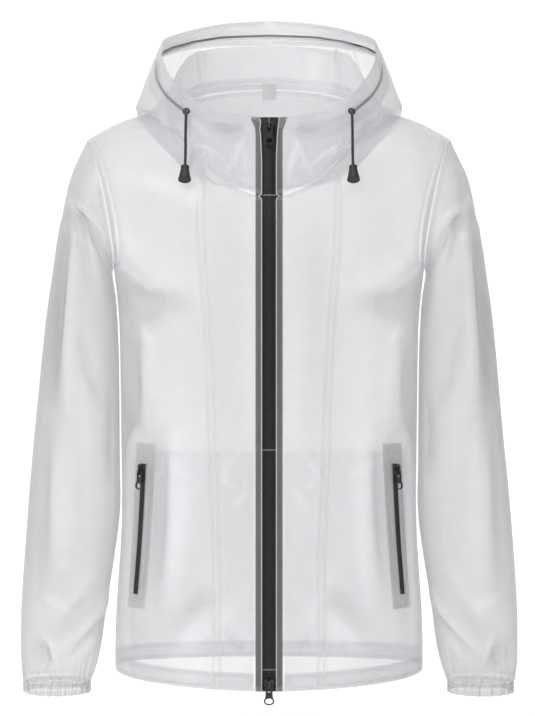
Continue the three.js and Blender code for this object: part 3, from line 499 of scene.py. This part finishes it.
def hang_in_folds(piece, held_at_seams=True):
    """Moves the points of a piece along their normals into the folds, the same for every layer."""
    mesh = piece.data
    n = len(mesh.vertices)
    spots, normals = np.empty(n * 3), np.empty(n * 3)
    mesh.vertices.foreach_get("co", spots)
    mesh.vertices.foreach_get("normal", normals)
    spots, normals = spots.reshape(-1, 3), normals.reshape(-1, 3)
    x, y, z = spots.T
    out = normals * np.sign(outwards_share(spots, normals))[:, None]
    faces_front = np.clip(0.5 - 2.5 * out[:, 1], 0, 1)
    move = np.zeros(n)
    for creases, shown in ((front_creases, faces_front), (back_creases, 1 - faces_front)):
        for width, height, *points in creases:
            for mirror in (1, -1):
                here_x = x * mirror + (0 if mirror > 0 else other_half_move)
                near, share = along_line(here_x, z, points)
                fade = np.sin(np.pi * np.clip(share, 0.04, 0.96)) ** 0.5
                size = height * (1 if mirror > 0 else other_half_share)
                move += size * np.exp(-(near / width) ** 2) * fade * shown
    ripple_lengths = np.array((ripple_length, ripple_length, ripple_stretch * ripple_length))
    ripple = np.array([noise.noise(Vector(spot)) for spot in spots / ripple_lengths])
    move += ripple_height * ripple
    calm = 1 - np.exp(-(x / zip_calm) ** 4) * (y < 0)
    near_pocket, _ = along_line(-np.abs(x), z, pocket_line)
    calm *= 1 - np.exp(-(near_pocket / pocket_calm) ** 4) * (y < 0)
    between = np.exp(-((np.abs(x) - underarm_x) / underarm_calm) ** 4 - (y / (3 * underarm_calm)) ** 4)
    calm *= 1 - between * (z < armhole_bottom_z)
    if held_at_seams:
        from_edge = np.empty(n)
        mesh.attributes["from the edge"].data.foreach_get("value", from_edge)
        calm *= np.clip(from_edge / seam_calm, 0, 1) ** 1.5
    # The fold height is kept on each point; the film's colour uses it for painted shade in the troughs and
    # a painted highlight on the ridges.
    layer = mesh.attributes.new("crease", "FLOAT", "POINT")
    layer.data.foreach_set("value", (move * calm).astype(np.float32))
    spots += out * (move * calm)[:, None]
    mesh.vertices.foreach_set("co", spots.ravel())
    mesh.update()


sleeve_from_x = 0.185
sleeve_middle_x = 0.235


def outwards_share(spots, normals):
    """Above 0 where a normal points away from the middle line of the trunk or sleeve it belongs to."""
    middle_x = np.where(np.abs(spots[:, 0]) > sleeve_from_x, np.sign(spots[:, 0]) * sleeve_middle_x, 0)
    return normals[:, 0] * (spots[:, 0] - middle_x) + normals[:, 1] * spots[:, 1]


# How far behind a face the wall's other side may be, and how squarely it has to face the other way
wall_test = (0.0022, -0.6)
tight_fold_tests = {"hood_centre": (0.0035, -0.35)}
largest_filled_hole = 12


def middle_of_wall(node):
    """The middle surface of a panel's solid: its outer skin without the cut edges, half a wall in."""
    shell = bmesh.new()
    shell.from_mesh(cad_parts[node].data)
    bmesh.ops.remove_doubles(shell, verts=shell.verts, dist=2e-5)
    skin_tree = BVHTree.FromBMesh(shell)
    reach, facing = tight_fold_tests.get(node, wall_test)
    cut_edges = []
    for face in shell.faces:
        inwards = -face.normal
        _, normal, _, _ = skin_tree.ray_cast(face.calc_center_median() + inwards * 1e-5, inwards, reach)
        if normal is None or normal.dot(face.normal) > facing:
            cut_edges.append(face)
    bmesh.ops.delete(shell, geom=cut_edges, context="FACES")
    shell.faces.ensure_lookup_table()
    skins, seen = [], set()
    for face in shell.faces:
        if face in seen:
            continue
        skin, waiting = [], [face]
        seen.add(face)
        while waiting:
            here = waiting.pop()
            skin.append(here)
            for edge in here.edges:
                for beside in edge.link_faces:
                    if beside not in seen:
                        seen.add(beside)
                        waiting.append(beside)
        skins.append(skin)
    skins.sort(key=lambda skin: -sum(face.calc_area() for face in skin))
    other = {face for skin in skins[1:] for face in skin}
    bmesh.ops.delete(shell, geom=list(other), context="FACES")
    if node.startswith("hood"):
        rim = [edge for edge in shell.edges if edge.is_boundary]
        bmesh.ops.holes_fill(shell, edges=rim, sides=largest_filled_hole)
    shell.normal_update()
    for vert in shell.verts:
        vert.co -= vert.normal * wall_of_solid / 2
    bmesh.ops.join_triangles(shell, faces=shell.faces, angle_face_threshold=1.2, angle_shape_threshold=1.4)
    mesh = bpy.data.meshes.new(node)
    shell.to_mesh(mesh)
    shell.free()
    return mesh


rounds_to_keep_size = 4


def smoothed(piece, levels):
    """Rounds the panel between its solid's points. The points are first moved out by as much as the
    rounding would draw them in, so the panel keeps its size and still meets its neighbours."""
    deselect_all()
    bpy.context.view_layer.objects.active = piece
    piece.select_set(True)
    rounding = piece.modifiers.new("rounding", "SUBSURF")
    rounding.levels = rounding.render_levels = 1
    rounding.boundary_smooth = "PRESERVE_CORNERS"
    count = len(piece.data.vertices)
    wanted = np.empty(count * 3)
    piece.data.vertices.foreach_get("co", wanted)
    moved = wanted.copy()
    for _ in range(rounds_to_keep_size):
        bpy.context.view_layer.update()
        rounded = piece.evaluated_get(bpy.context.evaluated_depsgraph_get()).data
        now = np.empty(len(rounded.vertices) * 3)
        rounded.vertices.foreach_get("co", now)
        moved += wanted - now[:count * 3]
        piece.data.vertices.foreach_set("co", moved)
        piece.data.update()
    rounding.levels = rounding.render_levels = levels
    bpy.ops.object.modifier_apply(modifier="rounding")
    bpy.ops.object.shade_smooth()


open_edge_x = 0.011


def mark_edges(piece):
    """Writes on each point how far it is from the panel's nearest edge, for the seam bands."""
    mesh = piece.data
    uses = np.zeros(len(mesh.edges), int)
    loop_edges = np.empty(len(mesh.loops), int)
    mesh.loops.foreach_get("edge_index", loop_edges)
    np.add.at(uses, loop_edges, 1)
    rim = [edge for edge in mesh.edges if uses[edge.index] == 1]
    samples = [mesh.vertices[edge.vertices[0]].co.lerp(mesh.vertices[edge.vertices[1]].co, t)
               for edge in rim for t in (0.0, 0.25, 0.5, 0.75)]
    samples = [spot for spot in samples if abs(spot.x) > open_edge_x]
    tree = kdtree.KDTree(max(1, len(samples)))
    for i, spot in enumerate(samples):
        tree.insert(spot, i)
    tree.balance()
    far = [tree.find(vert.co)[2] if samples else 1.0 for vert in mesh.vertices]
    layer = mesh.attributes.new("from the edge", "FLOAT", "POINT")
    layer.data.foreach_set("value", far)


def film_panel(node, material, levels=3, held_at_seams=True):
    piece = place_in_scene(node + "_cloth", middle_of_wall(node), material)
    smoothed(piece, levels)
    mark_edges(piece)
    hang_in_folds(piece, held_at_seams)
    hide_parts(node)
    return piece


film = film_material("frosted clear film", 0.62, (0.74, 0.74, 0.755), 0.27)
thin_film = film_material("thin clear pocket film", 0.80, (0.84, 0.84, 0.855), 0.34, 0.05)


# Front of the body: a centre panel on each side of the zip and a side panel out to the side seam, with the
# slot of the pocket zip in it.
for side_name in ("left", "right"):
    film_panel(f"front_centre_{side_name}", film)
    film_panel(f"front_side_{side_name}", film)

# Back of the body, one panel from side seam to side seam.
film_panel("back_panel", film)

# Sleeves: one panel each, rolled into a tube and closed under the arm, set into the armhole.
# The sleeves' film is a darker, less clear copy of the body's film: painted shade.
sleeve_film_painted_shade = film_material("sleeve film with painted shade", 0.57, (0.70, 0.70, 0.715), 0.27)
sleeves = [film_panel(f"sleeve_{side_name}", sleeve_film_painted_shade)
           for side_name in ("left", "right")]

# Cuffs: a narrow band of film gathered on elastic, about half as long again before it is gathered. The
# gathers run on up into the end of the sleeve, where they fade out. Sizes: metres, and waves a turn.
# The cuffs' film is a darker, less clear copy of the body's film: painted shade in the gathers.
cuff_film_painted_shade = film_material("gathered cuff film with painted shade", 0.44, (0.66, 0.66, 0.675), 0.3)
cuff_gathers = {"height": 0.0011, "waves": 38, "from_z": -0.690, "full_z": -0.703}
sleeve_gathers = {"height": 0.0013, "waves": 22, "from_z": -0.640, "full_z": -0.695}
cuff_middle = (0.2529, -0.010)


def gather(piece, height, waves, from_z, full_z):
    """Draws a band into uneven gathers that run along the arm."""
    mesh = piece.data
    count = len(mesh.vertices)
    spots, normals = np.empty(count * 3), np.empty(count * 3)
    mesh.vertices.foreach_get("co", spots)
    mesh.vertices.foreach_get("normal", normals)
    spots, normals = spots.reshape(-1, 3), normals.reshape(-1, 3)
    side = np.sign(spots[:, 0])
    angle = np.arctan2(spots[:, 1] - cuff_middle[1], spots[:, 0] - side * cuff_middle[0])
    uneven = np.array([noise.noise(Vector((1.7 * math.cos(a), 1.7 * math.sin(a), s + 9 * z)))
                       for a, s, z in zip(angle, side, spots[:, 2])])
    share = np.clip((from_z - spots[:, 2]) / (from_z - full_z), 0, 1)
    size = height * share ** 1.5 * (1 + 0.7 * uneven)
    spots += normals * (size * np.cos(waves * angle + 5 * uneven))[:, None]
    mesh.vertices.foreach_set("co", spots.ravel())
    mesh.update()


cuffs = [film_panel(f"cuff_{side_name}", cuff_film_painted_shade)
         for side_name in ("left", "right")]
for piece in cuffs:
    gather(piece, **cuff_gathers)
for piece in sleeves:
    gather(piece, **sleeve_gathers)

# Hem: a turned-up band inside the lower edge, one length for each front and one for the back.
for node, width in (("hem_back", 0.48), ("hem_front_left", 0.22), ("hem_front_right", 0.22)):
    film_panel(node, film)

# Hood: two side panels and a centre strip, with the facing round the opening that holds the drawcord.
# The hood's film is a lighter, clearer copy of the body's film: painted light.
hood_film_painted_light = film_material("clearer hood film with painted light", 0.66, (0.82, 0.82, 0.835), 0.27, 0.10)
film_panel("hood_centre", hood_film_painted_light)
for side_name in ("left", "right"):
    film_panel(f"hood_side_{side_name}", hood_film_painted_light)
film_panel("hood_casing", hood_film_painted_light)
film_panel("neck_binding", hood_film_painted_light)

# Drawcord inside the casing: the same braided cord, seen grey through the two layers of film.
cased_cord_thickness = 0.0028
cased_cord_from_axis = -0.02


def middle_of_tube(node, sides):
    """The middle line of a tube's solid that runs round behind the neck."""
    mesh = bmesh.new()
    mesh.from_mesh(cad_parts[node].data)
    bmesh.ops.remove_doubles(mesh, verts=mesh.verts, dist=2e-5)
    spots = sorted((vert.co.copy() for vert in mesh.verts),
                   key=lambda spot: math.atan2(spot.x, spot.y - cased_cord_from_axis))
    mesh.free()
    groups = [spots[i:i + sides] for i in range(0, len(spots) - sides + 1, sides)]
    return [sum(group, Vector()) / len(group) for group in groups]


cased_cord = round_cord("drawcord_in_casing_round", smooth_path(middle_of_tube("drawcord_in_casing", 6), 3),
                        cased_cord_thickness, 10, cord_stuff)
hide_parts("drawcord_in_casing")


# Size label: a bare white woven tape, sewn in under the neck binding and hanging behind the neck.
def woven_label_material():
    material, shader, add, join = node_kit("white woven label")
    spot = add("TexCoord")
    weave = add("TexWave", wave_type="BANDS", bands_direction="Z", Scale=900.0)
    join(spot.outputs["Object"], weave.inputs["Vector"])
    shade = add("ValToRGB")
    shade.color_ramp.elements[0].color = (0.66, 0.66, 0.66, 1)
    shade.color_ramp.elements[1].color = (0.80, 0.80, 0.80, 1)
    join(weave.outputs["Fac"], shade.inputs["Fac"])
    join(shade.outputs["Color"], shader.inputs["Base Color"])
    relief = add("Bump", Strength=0.2, Distance=0.0001)
    join(weave.outputs["Fac"], relief.inputs["Height"])
    join(relief.outputs["Normal"], shader.inputs["Normal"])
    shader.inputs["Roughness"].default_value = 0.8
    return material


film_panel("size_label", woven_label_material())

# Pocket bags: a plain film bag behind each front, closed along its top at waist height.
for side_name in ("left", "right"):
    film_panel(f"pocket_bag_{side_name}", thin_film, held_at_seams=False)


# Zip tapes and chains: woven black tape with a matt coating, in strips beside and between the welds.
# A pale crease lies across them where the neck seam, the pocket bags' tops and the hem band cross.
tape_crossings = (-0.1275, -0.419, -0.670)


def coated_tape_material():
    material, shader, add, join = node_kit("black coated zip tape")
    spot = add("TexCoord")
    ribs = add("TexWave", wave_type="BANDS", bands_direction="Z", Scale=260.0, Distortion=0.4, Detail=1.0)
    join(spot.outputs["Object"], ribs.inputs["Vector"])
    mottle = add("TexNoise", Scale=160.0, Detail=4.0, Roughness=0.65)
    join(spot.outputs["Object"], mottle.inputs["Vector"])
    shade = add("ValToRGB")
    shade.color_ramp.elements[0].position = 0.35
    shade.color_ramp.elements[0].color = (0.005, 0.005, 0.0055, 1)
    shade.color_ramp.elements[1].position = 0.7
    shade.color_ramp.elements[1].color = (0.013, 0.013, 0.014, 1)
    join(mottle.outputs["Fac"], shade.inputs["Fac"])
    height = add("SeparateXYZ")
    join(spot.outputs["Object"], height.inputs["Vector"])
    crossed = shade.outputs["Color"]
    for crossing_z in tape_crossings:
        near = add("Math", operation="COMPARE")
        near.inputs[1].default_value = crossing_z
        near.inputs[2].default_value = 0.0007
        join(height.outputs["Z"], near.inputs[0])
        lighter = add("Mix", data_type="RGBA")
        lighter.inputs[7].default_value = (0.22, 0.22, 0.22, 1)
        join(near.outputs["Value"], lighter.inputs[0])
        join(crossed, lighter.inputs[6])
        crossed = lighter.outputs[2]
    join(crossed, shader.inputs["Base Color"])
    relief = add("Bump", Strength=0.3, Distance=0.0003)
    join(ribs.outputs["Fac"], relief.inputs["Height"])
    join(relief.outputs["Normal"], shader.inputs["Normal"])
    shader.inputs["Roughness"].default_value = 0.6
    return material


tape_stuff = coated_tape_material()


# Pocket frames: each pocket zip is set in a narrow frame of film that is welded round its slot, with
# a dark line of tape along its edges and the tape's ends under a clear patch at top and bottom.
frame_box_top = -0.434
frame_box_bottom = -0.584


def frame_film_material():
    material, shader, add, join = node_kit("grey pocket frame film")
    edge = add("Attribute", attribute_name="from the edge", attribute_type="GEOMETRY")
    spot = add("TexCoord")
    mottle = add("TexNoise", Scale=90.0, Detail=4.0, Roughness=0.6)
    join(spot.outputs["Object"], mottle.inputs["Vector"])
    shade = add("ValToRGB")
    shade.color_ramp.elements[0].position = 0.0
    shade.color_ramp.elements[0].color = (0.05, 0.05, 0.053, 1)
    shade.color_ramp.elements[1].position = 1.0
    shade.color_ramp.elements[1].color = (0.36, 0.36, 0.375, 1)
    for place, grey in ((0.22, 0.08), (0.34, 0.62), (0.46, 0.62), (0.58, 0.24)):
        stop = shade.color_ramp.elements.new(place)
        stop.color = (grey, grey, grey * 1.03, 1)
    across = add("MapRange")
    across.inputs["From Max"].default_value = 0.0052
    join(edge.outputs["Fac"], across.inputs["Value"])
    uneven = add("Math", operation="MULTIPLY_ADD")
    uneven.inputs[1].default_value = 0.16
    join(mottle.outputs["Fac"], uneven.inputs[0])
    join(across.outputs["Result"], uneven.inputs[2])
    centred = add("Math", operation="SUBTRACT")
    centred.inputs[1].default_value = 0.08
    join(uneven.outputs["Value"], centred.inputs[0])
    join(centred.outputs["Value"], shade.inputs["Fac"])
    height = add("SeparateXYZ")
    join(spot.outputs["Object"], height.inputs["Vector"])
    beside_slot = add("Math", operation="COMPARE")
    beside_slot.inputs[1].default_value = (frame_box_top + frame_box_bottom) / 2
    beside_slot.inputs[2].default_value = (frame_box_top - frame_box_bottom) / 2
    join(height.outputs["Z"], beside_slot.inputs[0])
    boxed = add("Mix", data_type="RGBA")
    boxed.inputs[6].default_value = (0.50, 0.50, 0.515, 1)
    join(beside_slot.outputs["Value"], boxed.inputs[0])
    join(shade.outputs["Color"], boxed.inputs[7])
    join(boxed.outputs[2], shader.inputs["Base Color"])
    relief = add("Bump", Strength=0.25, Distance=0.0006)
    join(mottle.outputs["Fac"], relief.inputs["Height"])
    join(relief.outputs["Normal"], shader.inputs["Normal"])
    shader.inputs["Roughness"].default_value = 0.4
    open_film = add("BsdfTransparent")
    film_share = add("MixShader")
    film_share.inputs["Fac"].default_value = 0.62
    join(open_film.outputs["BSDF"], film_share.inputs[1])
    join(shader.outputs["BSDF"], film_share.inputs[2])
    join(film_share.outputs["Shader"], material.node_tree.nodes["Material Output"].inputs["Surface"])
    return material


frame_stuff = frame_film_material()
for node, flat in (("zip_tape_left", (0.016, 0.68)), ("zip_tape_right", (0.016, 0.68)),
                   ("zip_chain", None), ("pocket_tape_left", (0.03, 0.22)),
                   ("pocket_tape_right", (0.03, 0.22)), ("pocket_chain_left", None),
                   ("pocket_chain_right", None)):
    stuff = frame_stuff if node.startswith("pocket_tape") else tape_stuff
    film_panel(node, stuff, levels=2)


# Hard trims that keep their solids: eyelets, sliders and pull tabs of black enamelled metal. The
# enamel is satin, a little uneven, and worn to a lighter grey along its edges.
def enamel_material():
    material, shader, add, join = node_kit("black satin enamel")
    spot = add("TexCoord")
    cloud = add("TexNoise", Scale=700.0, Detail=3.0)
    join(spot.outputs["Object"], cloud.inputs["Vector"])
    rim = add("NewGeometry")
    worn = add("MapRange")
    for key, value in (("From Min", 0.52), ("From Max", 0.62), ("To Max", 0.35)):
        worn.inputs[key].default_value = value
    join(rim.outputs["Pointiness"], worn.inputs["Value"])
    shade = add("Mix", data_type="RGBA")
    shade.inputs[6].default_value = (0.012, 0.012, 0.013, 1)
    shade.inputs[7].default_value = (0.09, 0.09, 0.092, 1)
    join(worn.outputs["Result"], shade.inputs[0])
    join(shade.outputs[2], shader.inputs["Base Color"])
    relief = add("Bump", Strength=0.1, Distance=0.0001)
    join(cloud.outputs["Fac"], relief.inputs["Height"])
    join(relief.outputs["Normal"], shader.inputs["Normal"])
    shader.inputs["Metallic"].default_value = 0.2
    shader.inputs["Roughness"].default_value = 0.38
    shader.inputs["Coat Weight"].default_value = 0.25
    return material


enamel_stuff = enamel_material()
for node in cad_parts:
    if node.startswith("eyelet") or node.endswith(("_slider", "_pull")):
        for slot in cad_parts[node].material_slots:
            slot.material = enamel_stuff


# The zip's welds: along both edges of the front opening the film is welded down on the zip tape in a
# narrow raised line, which shows lighter than the grey of the tape behind the film.
weld_width = 0.0016
zip_edge_reach = 0.0125


def zip_edge_line(panels):
    """The points of the panels' edge beside the zip, from the hem up."""
    line = []
    for panel in panels:
        edge = bmesh.new()
        edge.from_mesh(panel.data)
        line += [vert.co.copy() for vert in edge.verts
                 if vert.is_boundary and abs(vert.co.x) < zip_edge_reach]
        edge.free()
    line.sort(key=lambda spot: spot.z)
    kept = [line[0]]
    for spot in line[1:]:
        if (spot - kept[-1]).length > 0.004:
            kept.append(spot)
    return kept


def weld_material():
    material, shader, add, join = node_kit("white weld line")
    spot = add("TexCoord")
    press = add("TexWave", wave_type="BANDS", bands_direction="Z", Scale=170.0, Distortion=0.6)
    join(spot.outputs["Object"], press.inputs["Vector"])
    shade = add("ValToRGB")
    shade.color_ramp.elements[0].color = (0.44, 0.44, 0.45, 1)
    shade.color_ramp.elements[1].color = (0.60, 0.60, 0.61, 1)
    join(press.outputs["Fac"], shade.inputs["Fac"])
    join(shade.outputs["Color"], shader.inputs["Base Color"])
    relief = add("Bump", Strength=0.3, Distance=0.0002)
    join(press.outputs["Fac"], relief.inputs["Height"])
    join(relief.outputs["Normal"], shader.inputs["Normal"])
    shader.inputs["Roughness"].default_value = 0.35
    return material


weld_stuff = weld_material()
for side_name in ("left", "right"):
    beside_zip = [bpy.data.objects[f"front_centre_{side_name}_cloth"],
                  bpy.data.objects[f"hood_side_{side_name}_cloth"]]
    weld = round_cord(f"zip_weld_{side_name}", zip_edge_line(beside_zip), weld_width, 6, weld_stuff)
